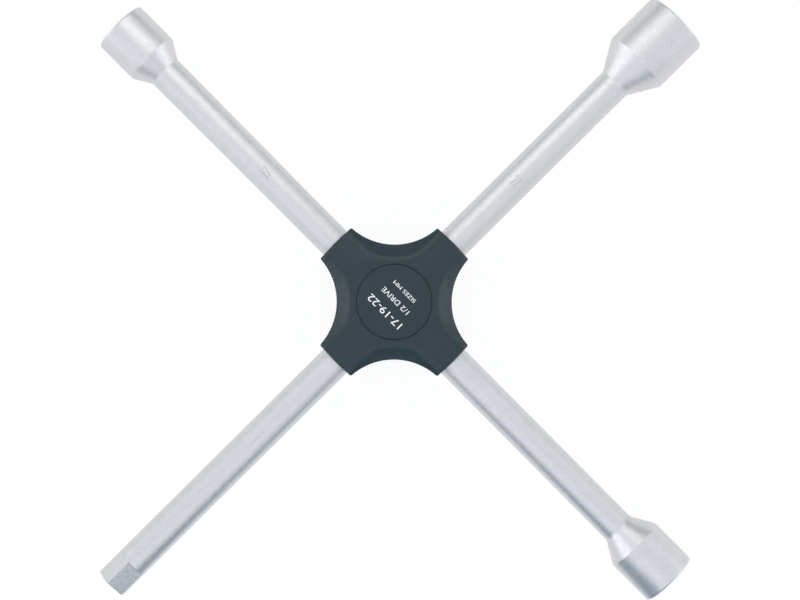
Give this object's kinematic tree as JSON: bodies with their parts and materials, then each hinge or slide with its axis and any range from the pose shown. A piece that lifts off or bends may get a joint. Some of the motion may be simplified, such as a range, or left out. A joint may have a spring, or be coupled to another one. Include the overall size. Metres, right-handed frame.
{
  "type": "four-way wheel brace",
  "caption": "Cross-shaped lug wrench: crossed steel bars with hexagon sockets and a square drive at their ends, held in a star-shaped plastic hub.",
  "frame": {"origin": "where the axes of the two crossed bars meet, at the centre of the hub, which is also the centre of the whole tool's box", "axes": "+X along the arm with the 22 mm socket, -X along the arm with the square drive, +Y along the arm with the 17 mm socket, -Y along the arm with the 19 mm socket, +Z out of the hub's front cap"},
  "size_m": [0.385, 0.3766, 0.0332],
  "materials": {
    "satin_chrome": "satin",
    "weld_metal": "matte",
    "hub_plastic": "satin",
    "cap_plastic": "satin",
    "cap_print": "matte",
    "zinc_plate": "satin",
    "ball_steel": "polished",
    "spring_steel": "satin"
  },
  "bodies": {
    "wrench": {"bar_22_drive": "satin_chrome", "bar_17_19": "satin_chrome", "socket_17": "satin_chrome", "socket_19": "satin_chrome", "socket_22": "satin_chrome", "weld_22_arm": "weld_metal", "weld_drive_arm": "weld_metal", "weld_17_arm": "weld_metal", "weld_19_arm": "weld_metal", "hub_shell_front": "hub_plastic", "hub_shell_rear": "hub_plastic", "cap_front": "cap_plastic", "cap_rear": "cap_plastic", "hub_screw_1": "zinc_plate", "hub_nut_1": "zinc_plate", "hub_screw_2": "zinc_plate", "hub_nut_2": "zinc_plate", "hub_screw_3": "zinc_plate", "hub_nut_3": "zinc_plate", "hub_screw_4": "zinc_plate", "hub_nut_4": "zinc_plate", "detent_spring": "spring_steel"},
    "detent_ball": {"detent_ball": "ball_steel"}
  },
  "joints": [
    {"name": "detent_press", "type": "slide", "parent": "wrench", "child": "detent_ball", "axis": [0, 0.866, 0.5], "range_m": [0, 0.001], "stiffness_N_per_m": 6000, "springref_m": -0.0006, "deforming": ["detent_spring"]}
  ]
}
